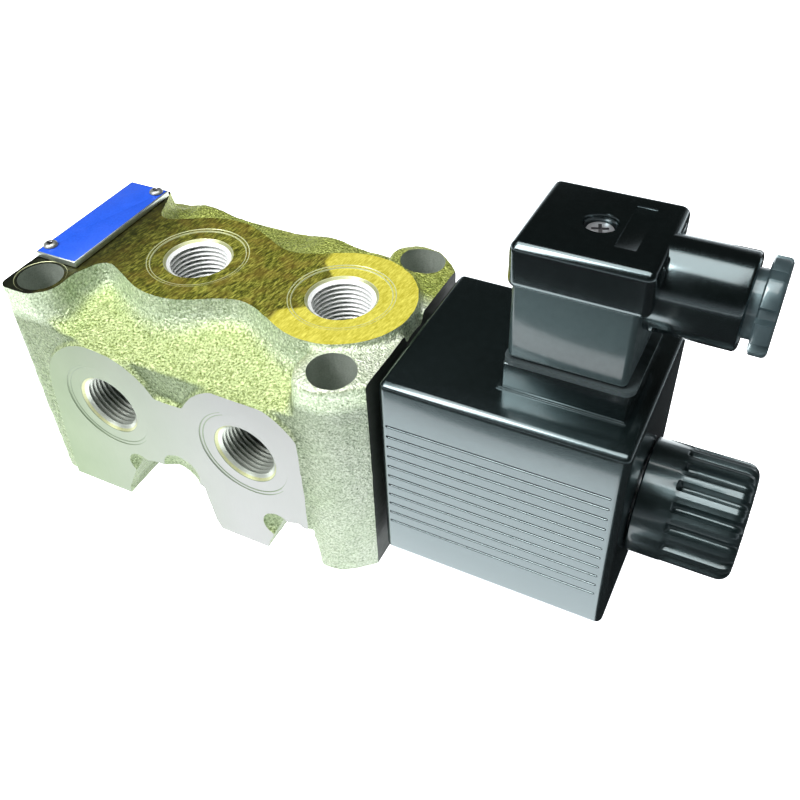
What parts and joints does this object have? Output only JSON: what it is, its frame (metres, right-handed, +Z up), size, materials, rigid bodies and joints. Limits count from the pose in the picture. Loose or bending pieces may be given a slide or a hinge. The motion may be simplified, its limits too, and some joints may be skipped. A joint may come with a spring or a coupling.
{
  "type": "solenoid directional valve",
  "caption": "Spool valve in a cast-iron body with screwed ports on three sides, a solenoid coil on one end, an angled cable connector with gland and a fluted coil nut.",
  "frame": {"origin": "centre of the valve body's underside", "axes": "+X along the spool axis towards the coil, +Z up through the top ports, -Y the side of the front ports"},
  "size_m": [0.1888, 0.064, 0.0989],
  "materials": {
    "cast_iron": "zinc-plated casting with machined faces",
    "steel": "turned and zinc plated",
    "dark_steel": "soft magnetic steel",
    "brass": "satin",
    "copper": "enamelled wire",
    "coil_plastic": "semi-gloss moulded black",
    "plug_plastic": "glossy moulded black",
    "inner_plastic": "matte moulded grey",
    "rubber": "matte",
    "plate": "blue anodised sheet"
  },
  "bodies": {
    "valve": {"valve_body": "cast_iron", "nameplate": "plate", "plate_rivet_front": "steel", "plate_rivet_back": "steel", "return_spring": "steel", "end_plug": "steel", "end_plug_oring": "rubber", "core_tube": "steel", "core_tube_oring": "rubber", "pole_core": "dark_steel", "coil_seal_ring": "rubber"},
    "spool_set": {"spool": "steel", "spring_seat": "steel", "push_pin": "steel", "armature": "dark_steel"},
    "override": {"override_pin": "brass"},
    "coil": {"coil_housing": "coil_plastic", "yoke_plate_front": "dark_steel", "yoke_plate_back": "dark_steel", "yoke_ring": "dark_steel", "coil_bobbin": "inner_plastic", "coil_winding": "copper", "terminal_blade_1": "brass", "terminal_blade_2": "brass", "earth_blade": "brass", "screw_insert": "brass", "connector_gasket": "rubber", "connector_housing": "plug_plastic", "terminal_block": "inner_plastic", "gland_seal": "rubber"},
    "nut_ring": {"coil_nut_oring": "rubber"},
    "nut": {"coil_nut": "plug_plastic"},
    "screw_ring": {"screw_seal": "rubber"},
    "screw": {"connector_screw": "steel"},
    "gland_ring": {"gland_washer": "steel"},
    "gland": {"gland_nut": "plug_plastic"}
  },
  "joints": [
    {"name": "spool_slide", "type": "slide", "parent": "valve", "child": "spool_set", "axis": [-1, 0, 0], "range_m": [0, 0.0035], "stiffness_N_per_m": 4000, "springref_m": -0.002, "deforming": ["return_spring"]},
    {"name": "override_push", "type": "slide", "parent": "valve", "child": "override", "axis": [-1, 0, 0], "range_m": [0, 0.0036]},
    {"name": "coil_swivel", "type": "hinge", "parent": "valve", "child": "coil", "pos_m": [0.0799, 0, 0.03045], "axis": [1, 0, 0], "range_deg": [-90, 90]},
    {"name": "nut_travel", "type": "slide", "parent": "valve", "child": "nut_ring", "axis": [1, 0, 0], "range_m": [0, 0.003]},
    {"name": "nut_turn", "type": "hinge", "parent": "nut_ring", "child": "nut", "pos_m": [0.1199, 0, 0.03045], "axis": [1, 0, 0], "range_deg": [0, 725]},
    {"name": "screw_travel", "type": "slide", "parent": "coil", "child": "screw_ring", "axis": [0, 0, 1], "range_m": [0, 0.005]},
    {"name": "screw_turn", "type": "hinge", "parent": "screw_ring", "child": "screw", "pos_m": [0.0906, 0, 0.09045], "axis": [0, 0, 1], "range_deg": [0, 3610]},
    {"name": "gland_travel", "type": "slide", "parent": "coil", "child": "gland_ring", "axis": [1, 0, 0], "range_m": [0, 0.00282]},
    {"name": "gland_turn", "type": "hinge", "parent": "gland_ring", "child": "gland", "pos_m": [0.1219, 0, 0.08905], "axis": [1, 0, 0], "range_deg": [0, 725]}
  ],
  "couplings": [
    {"joint": "override_push", "follows": "spool_slide", "ratio": 1},
    {"joint": "nut_turn", "follows": "nut_travel", "rad_per_m": 4188.8},
    {"joint": "screw_turn", "follows": "screw_travel", "rad_per_m": 12566},
    {"joint": "gland_turn", "follows": "gland_travel", "rad_per_m": 4456.2}
  ]
}
